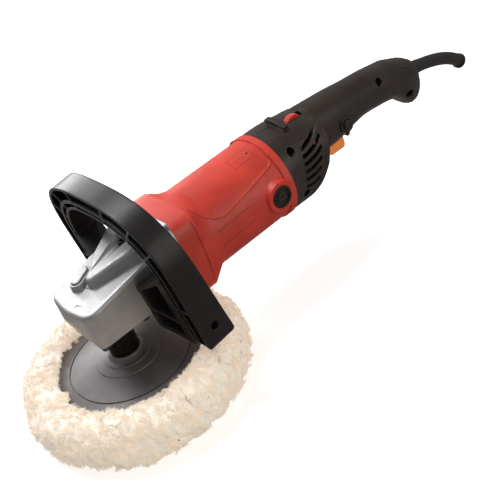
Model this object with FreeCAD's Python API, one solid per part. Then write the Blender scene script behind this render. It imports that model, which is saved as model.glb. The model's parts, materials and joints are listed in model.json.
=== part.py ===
import FreeCAD, Part
import os
from math import atan2, cos, degrees, hypot, pi, radians, sin

# Rotary polisher with a two-stage gear head, a bow handle and a wool bonnet.
# Millimetres.  Origin: on the spindle axis, at the working face of the wool.
# +Z runs up the spindle, +X runs back along the motor to the cord, -Y is the user's left.

V = FreeCAD.Vector
X, Y, Z = V(1, 0, 0), V(0, 1, 0), V(0, 0, 1)

# ---- driving dimensions -------------------------------------------------------------
WOOL_R = 98.0                   # bonnet outside radius
WOOL_H = 43.0                   # bonnet height
PAD_R = 84.0                    # backing pad radius
PAD_Z = 16.0                    # backing pad underside
PAD_TOP = 44.0                  # top of the pad hub
THREAD_R = 6.8                  # spindle thread, M14 nominal less its crest
MOTOR_Z = 97.0                  # motor axis height
MOTOR_R = 37.3                  # motor housing outside radius
MOTOR_BORE = 34.2               # motor housing bore
BLOCK_W = 30.0                  # gear head half width
SHAFT_Z = 111.0                 # intermediate shaft height
FLANGE_X = 60.0                 # front of the gear head's rear flange
JOINT_X = 70.0                  # gear head to motor housing
SKIRT_X = 62.5                  # front lip of the motor housing, over the gear head's flange
HANDLE_X = 178.0                # motor housing to rear handle
WALL = 2.6                      # rear handle wall

BEVEL_TEETH, BEVEL_PINION_TEETH, BEVEL_MODULE = 30, 10, 1.7
SPUR_TEETH, SPUR_PINION_TEETH, SPUR_MODULE = 26, 9, 0.8

BOW_TILT = 5.4                  # degrees the bow leans forward
BOW_FOOT = V(32.1, 0, 56.0)     # front face of the bow at the foot of its legs
BOW_DEPTH = 27.0                # front to back at the feet
BOW_CROWN_DEPTH = 19.5          # front to back at the crown
BOW_BOLT = (44.5, 71.0)         # X and Z of the bolts into the gear head

BRUSH_X = 162.0
BOX_SCREWS = [(x, y) for x in (-19.5, 19.5) for y in (-19.5, 19.5)]
LONG_SCREWS = [(y, MOTOR_Z + z) for y in (-30, 30) for z in (-30, 30)]
LOCK_PIN_R = 12.5               # shaft lock pin, distance from the spindle axis
HANDLE_SCREWS = [(190.0, 120.0), (191.0, 79.0), (310.0, 114.0), (342.0, 84.5)]
TRIGGER_PIVOT = (243.5, 88.0)
LOCK_ON = (260.0, 102.0)
DIAL = V(216.5, -6.0, 124.6)
DIAL_R = 9.5


# ---- helpers ---------------------------------------------------------------------------
def save(node, *solids):
    """Write one node, as one solid or as a group of separate solids."""
    shape = solids[0] if len(solids) == 1 else Part.makeCompound(list(solids))
    if not shape.isValid():
        print("invalid:", node)
    print(node, len(shape.Solids), round(shape.Volume))
    shape.exportStep("parts/" + node + ".step")


def box(x0, x1, y0, y1, z0, z1):
    return Part.makeBox(x1 - x0, y1 - y0, z1 - z0, V(x0, y0, z0))


def rod(r, a, b):
    """Cylinder of radius r from point a to point b."""
    return Part.makeCylinder(r, (b - a).Length, a, b - a)


def ring(r_out, r_in, a, b):
    return rod(r_out, a, b).cut(rod(r_in, a, b))


def rod_z(r, z0, z1, x=0.0, y=0.0):
    return rod(r, V(x, y, z0), V(x, y, z1))


def rod_x(r, x0, x1, z=MOTOR_Z, y=0.0):
    return rod(r, V(x0, y, z), V(x1, y, z))


def rod_y(r, y0, y1, x, z):
    return rod(r, V(x, y0, z), V(x, y1, z))


def turned_z(points):
    """Solid turned about the spindle axis from (radius, z) points."""
    wire = Part.makePolygon([V(r, 0, z) for r, z in points + points[:1]])
    return Part.Face(wire).revolve(V(0, 0, 0), Z, 360)


def turned_x(points, z=MOTOR_Z):
    """Solid turned about a line along X at height z, from (x, radius) points."""
    wire = Part.makePolygon([V(x, 0, z + r) for x, r in points + points[:1]])
    return Part.Face(wire).revolve(V(0, 0, z), X, 360)


def prism_y(points, y0, y1):
    """Plate between y0 and y1 with an outline of (x, z) points."""
    wire = Part.makePolygon([V(x, y0, z) for x, z in points + points[:1]])
    return Part.Face(wire).extrude(V(0, y1 - y0, 0))


def fused(*shapes):
    whole = shapes[0]
    for shape in shapes[1:]:
        whole = whole.fuse(shape)
    return whole


def around(shape, count, axis, base=V(0, 0, 0), start=0.0, sweep=360.0):
    """Copies of a shape turned about an axis."""
    copies = []
    for i in range(count):
        copy = shape.copy()
        copy.rotate(base, axis, start + i * sweep / count)
        copies.append(copy)
    return copies


def mirrored(shape):
    return shape.mirror(V(0, 0, 0), Y)


def power(value, exponent):
    """Signed power, for superellipse sections."""
    return (1 if value >= 0 else -1) * abs(value) ** exponent


def section(x, zc, half_h, half_w, n, count=40):
    """Closed superellipse wire across X; n = 2 is an ellipse, larger n is squarer."""
    points = []
    for i in range(count):
        a = 2 * pi * (i + 0.5) / count
        points.append(V(x, half_w * power(cos(a), 2 / n), zc + half_h * power(sin(a), 2 / n)))
    curve = Part.BSplineCurve()
    curve.interpolate(Points=points, PeriodicFlag=True)
    return Part.Wire(curve.toShape())


def loft(sections, inset=0.0, ruled=False):
    wires = [section(x, zc, h - inset, w - inset, n) for x, zc, h, w, n in sections]
    return Part.makeLoft(wires, True, ruled)


def sweep(points, radius):
    """Round bar along a smooth curve through the points."""
    curve = Part.BSplineCurve()
    curve.interpolate(Points=points)
    start = curve.tangent(curve.FirstParameter)[0]
    disc = Part.Wire(Part.makeCircle(radius, points[0], start))
    return Part.Wire(curve.toShape()).makePipeShell([disc], True, True)


def coil(radius, wire, length, turns, base, axis):
    """Compression spring with its first turn centred on base."""
    helix = Part.makeHelix(length / turns, length, radius)
    profile = Part.Wire(Part.makeCircle(wire, V(radius, 0, 0), Y))
    spring = helix.makePipeShell([profile], True, True)
    spring.Placement = FreeCAD.Placement(base, FreeCAD.Rotation(Z, axis))
    return spring


def half_space_above(x0, z0, slope):
    """Everything above the sloping plane z = z0 + slope (x - x0)."""
    far = 260.0
    points = [(x0 - far, z0 - slope * far), (x0 + far, z0 + slope * far),
              (x0 + far, far * 2), (x0 - far, far * 2)]
    return prism_y(points, -far, far)


def tooth_wire(teeth, root, pitch, tip, widths, x, z, start):
    """Gear outline across X; widths are tooth thicknesses at root, pitch and tip."""
    points = []
    for i in range(teeth):
        centre = radians(start + 360.0 * i / teeth)
        flank = [(root, widths[0]), (pitch, widths[1]), (tip, widths[2])]
        for r, w in flank:
            a = centre - w / (2 * r)
            points.append(V(x, r * cos(a), z + r * sin(a)))
        for r, w in reversed(flank):
            a = centre + w / (2 * r)
            points.append(V(x, r * cos(a), z + r * sin(a)))
    return Part.makePolygon(points + points[:1])


# ---- spindle group ---------------------------------------------------------------------
BEVEL_R = BEVEL_MODULE * BEVEL_TEETH / 2
BEVEL_PINION_R = BEVEL_MODULE * BEVEL_PINION_TEETH / 2
BEVEL_FACE = 8.0                # tooth length along X at the pinion
INNER = (BEVEL_R - BEVEL_FACE) / BEVEL_R
BEVEL_ADD, BEVEL_DED = 1.1, 1.6
BEVEL_WIDTHS = (2.3, 1.95, 1.2)
KEY = (4.6, 8.2, 1.5, 89.5, 95.5)


def key_solid():
    x0, x1, half, z0, z1 = KEY
    return box(x0, x1, -half, half, z0, z1)


def spindle():
    seat = 7.5
    body = turned_z([
        (0, 24), (THREAD_R - 0.5, 24), (THREAD_R, 24.6), (THREAD_R, 72), (8.6, 72), (8.6, 76.4),
        (seat, 76.4), (seat, 88), (6.5, 88), (6.5, 101.05), (6.0, 101.05), (6.0, 102.05),
        (6.5, 102.05), (6.5, 103), (4, 103), (4, 113), (3.5, 113.5), (0, 113.5)])
    return body.cut(key_solid())


def bevel_gear():
    """Ring of straight teeth facing up; they taper to the apex where the axes cross."""
    nx, nz = BEVEL_PINION_R / hypot(BEVEL_R, BEVEL_PINION_R), BEVEL_R / hypot(BEVEL_R, BEVEL_PINION_R)

    def at(offset, scale):
        """Point on the gear's cone, offset along its normal, scaled towards the apex."""
        r = (BEVEL_R + nx * offset) * scale
        return r, SHAFT_Z + (-BEVEL_PINION_R + nz * offset) * scale

    outer, inner = at(-BEVEL_DED, 1.012), at(-BEVEL_DED, INNER - 0.02)
    blank = turned_z([(6.5, 88.05), (11, 88.05), (11, 90), (20, 91.5), (outer[0], 97.5), outer, inner,
                      (inner[0] - 1, 101), (6.5, 101)])

    def across(scale):
        corners = []
        for offset, width in ((-BEVEL_DED - 0.3, BEVEL_WIDTHS[0]), (BEVEL_ADD, BEVEL_WIDTHS[2])):
            r, z = at(offset, scale)
            corners.append((V(r, -width * scale / 2, z), V(r, width * scale / 2, z)))
        return Part.makePolygon([corners[0][0], corners[0][1], corners[1][1], corners[1][0], corners[0][0]])

    tooth = Part.makeLoft([across(1.0), across(INNER)], True, True)
    step = 360.0 / BEVEL_TEETH
    gear = fused(blank, *around(tooth, BEVEL_TEETH, Z, start=step / 2))
    lock_hole = rod_z(2.6, 90, 102, 0, LOCK_PIN_R)
    return gear.cut(Part.makeCompound(around(lock_hole, 8, Z) + [key_solid()]))


def backing_pad(insert):
    profile = [
        (THREAD_R, PAD_Z), (80, PAD_Z), (PAD_R, 20), (PAD_R, 24.5), (81, 27.6), (52.6, 34.0), (52.3, 33.2),
        (51.4, 33.2), (51.1, 34.3), (28.3, 37.6), (28.0, 38.3), (20.3, 39.4), (20.0, 40.1), (16.2, 40.7),
        (14.0, 42.0), (12.8, PAD_TOP), (THREAD_R, PAD_TOP)]
    return turned_z(profile).cut(insert)


def wool_bonnet():
    """Wool pile bonnet: closed below, wrapped round the pad's edge, open above."""
    gap = 0.4
    outer = [V(0, 0, 0), V(70, 0, 0)]
    bulge = Part.BSplineCurve()
    bulge.interpolate([V(70, 0, 0), V(88, 0, 4), V(WOOL_R, 0, 21), V(93, 0, 36),
                       V(81, 0, WOOL_H), V(68, 0, 38)])
    inner = [V(68, 0, 38), V(66, 0, 31.4), V(81, 0, 28.1), V(PAD_R + gap, 0, 24.6),
             V(PAD_R + gap, 0, 19.6), V(80.2, 0, PAD_Z - gap), V(0, 0, PAD_Z - gap), V(0, 0, 0)]
    wire = Part.Wire(Part.__sortEdges__(
        Part.makePolygon(outer).Edges + [bulge.toShape()] + Part.makePolygon(inner).Edges))
    return Part.Face(wire).revolve(V(0, 0, 0), Z, 360)


def build_spindle_group():
    save("spindle", spindle())
    save("bevel_gear", bevel_gear())
    save("gear_key", key_solid())
    gap_side = box(0, 12, -2, 2, 100, 104)
    save("spindle_circlip", ring(8.5, 6.0, V(0, 0, 101.1), V(0, 0, 102.0)).cut(gap_side))
    grooves = [ring(13, 12.2, V(0, 0, z), V(0, 0, z + 0.8)) for z in (46.5, 68.5)]
    sleeve = ring(12.6, THREAD_R, V(0, 0, PAD_TOP), V(0, 0, 71.9))
    save("spindle_sleeve", sleeve.cut(Part.makeCompound(grooves)))
    insert = fused(ring(20, THREAD_R, V(0, 0, 18), V(0, 0, 20.5)),
                   ring(10, THREAD_R, V(0, 0, 18), V(0, 0, 43)))
    save("pad_thread_insert", insert)
    save("backing_pad", backing_pad(insert))
    save("wool_bonnet", wool_bonnet())


# ---- gear head -------------------------------------------------------------------------
TOP_SLOPE = 0.17


def upright(shape, x_max):
    """Vertical edges in front of x_max."""
    return [e for e in shape.Edges if e.BoundBox.ZLength > 20 and e.BoundBox.XLength < 0.1
            and e.BoundBox.XMax < x_max]


def head_block():
    """Flat-sided casting with a rounded nose, a sloping roof and an undercut front."""
    plan = [V(50, -BLOCK_W, 77), V(-26.5, -BLOCK_W, 77), V(-30.5, 0, 77),
            V(-26.5, BLOCK_W, 77), V(50, BLOCK_W, 77)]
    block = Part.Face(Part.makePolygon(plan + plan[:1])).extrude(V(0, 0, 60))
    block = block.makeFillet(12.5, [e for e in upright(block, 40) if abs(e.BoundBox.YMin) > 5])
    block = block.makeFillet(60.0, [e for e in upright(block, -30)])
    block = block.cut(half_space_above(-25, 108.5, TOP_SLOPE))
    block = block.makeFillet(3.2, [e for e in block.Edges if e.BoundBox.ZMin > 105 and e.BoundBox.XMin < 40])
    undercut = prism_y([(-60, 103), (-31.2, 101), (-24.6, 76), (-60, 76)], -60, 60)
    return block.cut(undercut)


def head_hump():
    """Tongue-shaped rise that clears the pinion and runs up to the rear flange."""
    plan = [V(x, y, 100) for x, y in ((62, -34), (-3, -7.8), (-7.5, -2.5), (4, 3), (17, 14), (36, 22.5),
                                      (62, 34))]
    hump = Part.Face(Part.makePolygon(plan + plan[:1])).extrude(V(0, 0, 45))
    hump = hump.makeFillet(4.0, upright(hump, 40))
    hump = hump.cut(half_space_above(-11, 119.5, 0.25))
    edges = [e for e in hump.Edges if e.BoundBox.ZMin > 118 and e.BoundBox.XMin < 60]
    return hump.makeFillet(3.5, edges)


def lock_slot(grow, z0, z1):
    """Oblong along the button's skewed axis, larger than the button by grow."""
    reach, half, skew = 6.5, 3.9 + grow, 30
    turn = FreeCAD.Rotation(Z, skew)
    a, b = turn.multVec(V(-reach, 0, 0)), turn.multVec(V(reach, 0, 0))
    centre = V(-2.8, LOCK_PIN_R - 0.7, 0)
    bar = Part.makeBox(2 * reach, 2 * half, z1 - z0, V(-reach, -half, z0))
    bar.rotate(V(0, 0, 0), Z, skew)
    bar.translate(centre)
    ends = [rod_z(half, z0, z1, centre.x + p.x, centre.y + p.y) for p in (a, b)]
    return fused(bar, *ends)


def gear_housing():
    flange = loft([(FLANGE_X - 0.5, 97.5, 39.5, 38.5, 5.0), (JOINT_X, 97.5, 39.5, 38.5, 5.0)])
    flare = loft([(34, 93, 30, BLOCK_W - 0.4, 7.0), (53, 94, 32, BLOCK_W - 0.1, 6.0),
                  (FLANGE_X, 97.5, 39, 38, 5.0)], ruled=True)
    rim = lock_slot(2.0, 104, 116.4)
    outer = fused(head_block(), head_hump(), flare, flange, rim)

    gear_room = turned_z([
        (0, 76), (21, 76), (21, 89), (24.5, 92), (27.6, 97), (27.6, 104.3), (17, 106.8), (0, 106.8)])
    boss = rod_z(8.6, 104.4, 117)
    pinion_tunnel = rod_x(11.5, 12, 32, SHAFT_Z)
    rooms = [
        gear_room.cut(boss), pinion_tunnel,
        rod_x(13.0, 31, 39.5, SHAFT_Z), rod_x(12.2, 39, 51, SHAFT_Z), rod_x(5.8, 39.5, 51),
        rod_x(30.0, 51, JOINT_X + 1),
        rod_z(6.0, 104, 112.7), rod_z(4.8, 112, 114.4),
        rod_z(2.4, 104, 112, 0, LOCK_PIN_R), lock_slot(0.25, 109.5, 130)]
    rooms += [rod_z(2.0, 76, 86.5, x, y) for x, y in BOX_SCREWS]
    for y, z in LONG_SCREWS:
        rooms.append(rod_x(2.2, 50, JOINT_X + 1, z, y))
        rooms.append(rod_x(4.4, 20, FLANGE_X, z, y))
    for side in (-1, 1):
        rooms.append(rod_y(4.0, side * 14, side * 40, *BOW_BOLT))
    recess = Part.makeCone(1.4, 9.8, 35.2, V(2.5, -1.5, 123.6), V(1, 0.02, 0.373))
    rooms.append(recess)
    skirt_room = box(SKIRT_X - 0.02, JOINT_X + 5, -50, 50, 40, 150).cut(
        loft([(SKIRT_X - 1, MOTOR_Z, 35.45, 35.45, 5.0), (JOINT_X + 6, MOTOR_Z, 35.45, 35.45, 5.0)]))
    return biggest(outer.cut(rooms + [skirt_room]))


def bearing_box():
    """Cup that carries the lower spindle bearing, with a square flange under the gear head."""
    cup = turned_z([
        (9.4, 75.2), (12, 75.2), (12, 72.5), (20.9, 72.5), (20.9, 88.2),
        (17.5, 88.2), (17.5, 76.45), (9.4, 76.45)])
    flange = box(-24, 24, -24, 24, 72.5, 76.95)
    flange = flange.makeFillet(6, [e for e in flange.Edges if e.BoundBox.ZLength > 4])
    holes = [rod_z(2.1, 72, 78, x, y) for x, y in BOX_SCREWS]
    return fused(cup, flange.cut(rod_z(18, 70, 80))).cut(holes)


def build_gear_head():
    save("gear_housing", gear_housing())
    save("bearing_box", bearing_box())
    save("bearing_box_screws", *[
        fused(rod_z(3.6, 69.4, 72.45, x, y), rod_z(1.95, 72, 86, x, y)).cut(rod_z(1.7, 69, 71.2, x, y))
        for x, y in BOX_SCREWS])
    save("spindle_seal", ring(11.97, 8.65, V(0, 0, 72.7), V(0, 0, 75.1)))
    save("spindle_bearing", turned_z([(7.53, 76.5), (17.47, 76.5), (17.47, 87.5), (7.53, 87.5)]))
    save("spindle_needle_bearing", turned_z([(4.03, 104.5), (5.97, 104.5), (5.97, 112.5), (4.03, 112.5)]))
    save("housing_screws", *[
        fused(rod_x(3.9, 56, FLANGE_X - 0.05, z, y), rod_x(1.8, 59, 83, z, y)).cut(rod_x(1.9, 55, 58, z, y))
        for y, z in LONG_SCREWS])


def build_shaft_lock():
    travel_base = 109.55
    cap = lock_slot(0, 114.6, 118.2)
    cap = cap.makeFillet(0.8, [e for e in cap.Edges if e.BoundBox.ZMin > 118])
    save("shaft_lock_button", cap.cut(rod_z(2.3, 113, 117, 0, LOCK_PIN_R)))
    save("shaft_lock_pin", rod_z(2.3, 102, 117, 0, LOCK_PIN_R))
    save("shaft_lock_spring", coil(2.75, 0.3, 3.5, 2, V(0, LOCK_PIN_R, travel_base + 0.35), Z))


# ---- intermediate shaft ------------------------------------------------------------------
SPUR_R = SPUR_MODULE * SPUR_TEETH / 2
SPUR_PINION_R = SPUR_MODULE * SPUR_PINION_TEETH / 2
SPUR_ADD, SPUR_DED = 0.6, 0.95


def pinion_shaft():
    lift = hypot(BEVEL_R, BEVEL_PINION_R) / BEVEL_R
    root, tip = BEVEL_PINION_R - BEVEL_DED * lift, BEVEL_PINION_R + BEVEL_ADD * lift
    wires = []
    for scale in (1.0, INNER):
        widths = [w * scale for w in (1.9, 1.9, 1.15)]
        wires.append(tooth_wire(BEVEL_PINION_TEETH, root * scale, BEVEL_PINION_R * scale, tip * scale,
                                widths, BEVEL_R * scale, SHAFT_Z, -90))
    teeth = Part.makeLoft(wires, True, True)
    shaft = turned_x([(BEVEL_R - 1, 0), (BEVEL_R - 1, 5), (BEVEL_R, 6.4), (30.9, 6.4), (30.9, 5), (40, 5),
                      (40, 4.5), (50.8, 4.5), (50.8, 4), (60.0, 4), (60.4, 3.6), (60.4, 0)], SHAFT_Z)
    return fused(teeth, shaft)


def build_intermediate():
    save("pinion_shaft", pinion_shaft())
    wire = tooth_wire(SPUR_TEETH, SPUR_R - SPUR_DED, SPUR_R, SPUR_R + SPUR_ADD, (1.45, 1.0, 0.6), 41.5,
                      SHAFT_Z,
                      -90 + 180.0 / SPUR_TEETH)
    gear = Part.Face(wire).extrude(V(8, 0, 0))
    save("intermediate_gear", gear.cut(rod_x(4.5, 41, 50, SHAFT_Z)))
    save("intermediate_gear_clip", ring(6.6, 4.5, V(49.6, 0, SHAFT_Z), V(50.6, 0, SHAFT_Z)).cut(
        box(49, 51, -1.6, 1.6, SHAFT_Z, SHAFT_Z + 10)))
    save("pinion_shaft_bearing", turned_x([(31.1, 5.03), (39.1, 5.03), (39.1, 12.97), (31.1, 12.97)], SHAFT_Z))
    save("pinion_shaft_needle_bearing", turned_x([(51.9, 4.03), (59.9, 4.03), (59.9, 5.97), (51.9, 5.97)], SHAFT_Z))
    plate = rod_x(29.9, 51.05, JOINT_X).cut([
        rod_x(6.0, 51, 60.1, SHAFT_Z), rod_x(4.4, 60, 61.0, SHAFT_Z),
        rod_x(5.6, 51, 63), rod_x(13.0, 62, JOINT_X + 1)])
    save("gear_plate", plate)
    save("armature_front_bearing", turned_x([(62.1, 5.03), (69.9, 5.03), (69.9, 12.97), (62.1, 12.97)]))


# ---- motor -------------------------------------------------------------------------------
def armature_shaft():
    wire = tooth_wire(SPUR_PINION_TEETH, SPUR_PINION_R - SPUR_DED, SPUR_PINION_R, SPUR_PINION_R + SPUR_ADD,
                      (0.95, 1.0, 0.6), 41, MOTOR_Z, 90)
    pinion = Part.Face(wire).extrude(V(9.5, 0, 0))
    shaft = turned_x([(50.5, 0), (50.5, 4.6), (61.5, 4.9), (61.9, 5), (72, 5), (72, 6), (169, 6), (169, 4),
                      (179, 4), (179.5, 3.5), (179.5, 0)])
    return fused(pinion, shaft)


def fan():
    hub = rod_x(9, 74.5, 84)
    disc = rod_x(31.2, 82.4, 84)
    blade = box(75, 83, 8, 31, MOTOR_Z - 0.8, MOTOR_Z + 0.8)
    blade.rotate(V(0, 8, MOTOR_Z), X, 28)
    return fused(hub, disc, *around(blade, 13, X, V(0, 0, MOTOR_Z))).cut(rod_x(6, 70, 90))


def wedge(a0, a1, x0, x1, reach=60.0):
    """Sector about the motor axis between two angles measured from +Y."""
    points = [V(x0, 0, MOTOR_Z)]
    for a in (a0, (a0 + a1) / 2, a1):
        points.append(V(x0, reach * cos(radians(a)), MOTOR_Z + reach * sin(radians(a))))
    return Part.Face(Part.makePolygon(points + points[:1])).extrude(V(x1 - x0, 0, 0))


def field_coil():
    """One saddle coil: two long sides joined by an arch at each end."""
    sleeve = ring(26.6, 22.3, V(88, 0, MOTOR_Z), V(148, 0, MOTOR_Z))
    window = wedge(42, 138, 95, 141)
    return sleeve.common(wedge(6, 174, 88, 148)).cut(window)


def build_motor():
    save("armature_shaft", armature_shaft())
    slots = around(box(97, 139, 19.5, 22, MOTOR_Z - 1.0, MOTOR_Z + 1.0), 12, X, V(0, 0, MOTOR_Z))
    save("armature_core", ring(21.2, 6, V(98, 0, MOTOR_Z), V(138, 0, MOTOR_Z)).cut(slots))
    save("armature_windings",
         turned_x([(87, 6), (87, 12), (90, 18), (98, 19.5), (98, 6)]),
         turned_x([(138, 6), (138, 19.5), (144, 17), (147.5, 11), (147.5, 6)]))
    bars = around(box(150, 165, 11.4, 13, MOTOR_Z - 0.25, MOTOR_Z + 0.25), 24, X, V(0, 0, MOTOR_Z))
    save("commutator", turned_x([(148, 6), (148, 13.4), (150, 13.4), (150, 12), (168, 12), (168, 6)]).cut(bars))
    save("fan", fan())
    poles = ring(27, 21.7, V(96, 0, MOTOR_Z), V(140, 0, MOTOR_Z)).common(
        Part.makeCompound([wedge(46, 134, 95, 141), wedge(226, 314, 95, 141)]))
    save("stator_core", fused(ring(MOTOR_BORE, 26.7, V(96, 0, MOTOR_Z), V(140, 0, MOTOR_Z)), poles))
    coil_top = field_coil()
    coil_low = coil_top.copy()
    coil_low.rotate(V(0, 0, MOTOR_Z), X, 180)
    save("field_coils", coil_top, coil_low)
    save("armature_rear_bearing", turned_x([(171, 4.03), (178, 4.03), (178, 10.97), (171, 10.97)]))
    save("rear_bearing_sleeve", ring(11.97, 11.0, V(170.6, 0, MOTOR_Z), V(178.4, 0, MOTOR_Z)))
    save("fan_baffle", turned_x([(70.05, 20), (73.2, 16), (73.2, MOTOR_BORE), (70.05, MOTOR_BORE)]))


def build_brushes():
    holders, brushes, springs, caps = [], [], [], []
    for side in (-1, 1):
        pocket = box(BRUSH_X - 4, BRUSH_X + 4, min(side * 12, side * 36), max(side * 12, side * 36),
                     MOTOR_Z - 2.7, MOTOR_Z + 2.7)
        holders.append(rod_y(6.5, side * 13.6, side * 34, BRUSH_X, MOTOR_Z).cut(pocket))
        brushes.append(box(BRUSH_X - 3.9, BRUSH_X + 3.9, min(side * 12.1, side * 26), max(side * 12.1, side * 26),
                           MOTOR_Z - 2.6, MOTOR_Z + 2.6))
        springs.append(coil(2.0, 0.3, 7.0, 5, V(BRUSH_X, side * 26.4, MOTOR_Z), Y * side))
        cap = fused(rod_y(9.4, side * 36.1, side * 40.6, BRUSH_X, MOTOR_Z), rod_y(6.4, side * 34.1, side * 36.2,
                                                                                BRUSH_X, MOTOR_Z))
        slot = box(BRUSH_X - 4.4, BRUSH_X + 4.4, min(side * 39, side * 42), max(side * 39, side * 42),
                   MOTOR_Z - 0.9, MOTOR_Z + 0.9)
        dish = ring(7.6, 4.4, V(BRUSH_X, side * 38.8, MOTOR_Z), V(BRUSH_X, side * 41, MOTOR_Z))
        crown = rod_y(7.0, side * 40.1, side * 41, BRUSH_X, MOTOR_Z)
        caps.append(cap.cut([slot, dish, crown]))
    save("brush_holders", *holders)
    save("carbon_brushes", *brushes)
    save("brush_springs", *springs)
    save("brush_caps", *caps)


def motor_housing():
    square, round_end = (38, 38, 5.0), (MOTOR_R, MOTOR_R, 2.0)
    sections = [(JOINT_X, MOTOR_Z, *square), (82, MOTOR_Z, *square), (97, MOTOR_Z, *round_end),
                (174, MOTOR_Z, *round_end)]
    outer = fused(loft(sections, ruled=True), rod_x(38.8, 171.5, HANDLE_X),
                  *[Part.makeCone(17, 13.2, 11, V(BRUSH_X, side * 29, MOTOR_Z), Y * side) for side in (-1, 1)])
    shell = outer.cut(rod_x(MOTOR_BORE, JOINT_X - 1, 171))
    cavity = rod_x(33.4, 175, HANDLE_X + 1)
    windows = [ring(31, 16, V(170, 0, MOTOR_Z), V(176, 0, MOTOR_Z)).common(wedge(a + 8, a + 52, 170, 176))
               for a in range(30, 390, 60)]
    shell = shell.cut([cavity] + windows)
    spigot = ring(33.4, 31, V(174.5, 0, MOTOR_Z), V(184, 0, MOTOR_Z))
    bearing_boss = ring(14, 12, V(170.5, 0, MOTOR_Z), V(179, 0, MOTOR_Z))
    guides = [rod_y(10.5, side * 27, side * 37, BRUSH_X, MOTOR_Z) for side in (-1, 1)]
    shell = fused(shell, spigot, bearing_boss, *guides)
    bores = [rod_x(12, 170, 180)]
    for side in (-1, 1):
        bores.append(rod_y(9.55, side * 36, side * 45, BRUSH_X, MOTOR_Z))
        bores.append(rod_y(6.55, side * 20, side * 40, BRUSH_X, MOTOR_Z))
    bores += [rod_x(1.85, JOINT_X - 1, 84, z, y) for y, z in LONG_SCREWS]
    skirt = loft([(SKIRT_X, MOTOR_Z, *square), (JOINT_X + 0.2, MOTOR_Z, *square)])
    skirt = skirt.cut(loft([(SKIRT_X - 1, MOTOR_Z, 35.5, 35.5, 5.0), (JOINT_X + 1, MOTOR_Z, 35.5, 35.5, 5.0)]))
    bores += [rod_x(2.3, SKIRT_X - 1, JOINT_X, z, y) for y, z in LONG_SCREWS]
    return fused(shell, skirt).cut(bores)


# ---- rear handle -------------------------------------------------------------------------
BELL = [(HANDLE_X, 97, 37.8, 37.8, 2.0), (186, 97, 37.5, 36.4, 2.2), (200, 96.6, 36.8, 34.8, 2.4),
        (218, 95.6, 35.6, 34.4, 2.4), (236, 94.6, 34.2, 34.0, 2.4)]
GRIP = [(200, 104, 26, 22, 2.3), (222, 106.5, 25, 21.5, 2.3), (240, 107.3, 23.4, 20.3, 2.4),
        (256, 107, 22.2, 19.8, 2.4), (270, 107.3, 20.6, 19.2, 2.3), (286, 107.2, 18.8, 18.6, 2.1),
        (312, 104.6, 18.4, 18.4, 2.1), (328, 101.6, 18.6, 18.6, 2.1), (336, 98.6, 20.2, 18.8, 2.1),
        (342, 94.4, 22.0, 18.6, 2.2), (349, 90.4, 23.2, 17.8, 2.3), (356, 89.6, 20.8, 16.0, 2.4),
        (361.5, 91.2, 15.2, 12.5, 2.4)]


def bulkhead(shift):
    """Everything behind the bell's slanting rear edge, moved forward by shift."""
    edge = [(176, 52), (189, 60), (201, 66), (211, 77), (221, 91), (227.6, 108), (231, 125), (233, 150)]
    points = [(x - shift, z) for x, z in edge]
    return prism_y(points + [(300, 150), (300, 40), (176 - shift, 40)], -60, 60)


def vent_slots():
    """Curved slots that fan out from the motor towards the back of the bell."""
    slots, count, half = [], 6, 1.75
    for i in range(count):
        f = i / (count - 1)
        x0, z0 = 198.7 - 7.5 * f, 117 - 31.2 * f
        x1, z1 = 226.0 - 17.5 * f, 125.2 - 40.8 * f
        mid = ((x0 + x1) / 2 + 1, (z0 + z1) / 2 - 1.6)
        top = Part.Arc(V(x0, -50, z0 + half), V(mid[0], -50, mid[1] + half), V(x1, -50, z1 + half)).toShape()
        low = Part.Arc(V(x0, -50, z0 - half), V(mid[0], -50, mid[1] - half), V(x1, -50, z1 - half)).toShape()
        ends = [Part.makeLine(V(x, -50, z - half), V(x, -50, z + half)) for x, z in ((x0, z0), (x1, z1))]
        slots.append(Part.Face(Part.Wire(Part.__sortEdges__([top, low] + ends))).extrude(V(0, 26, 0)))
    return slots + [mirrored(s) for s in slots]


GUARD_R = 6.0
CORD_PATH = [V(344, 0, 95.6), V(356, 0, 94.8), V(368, 0, 93.0), V(391, 0, 87.6),
             V(411, 0, 79.6), V(429, 0, 66.8)]


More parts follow.
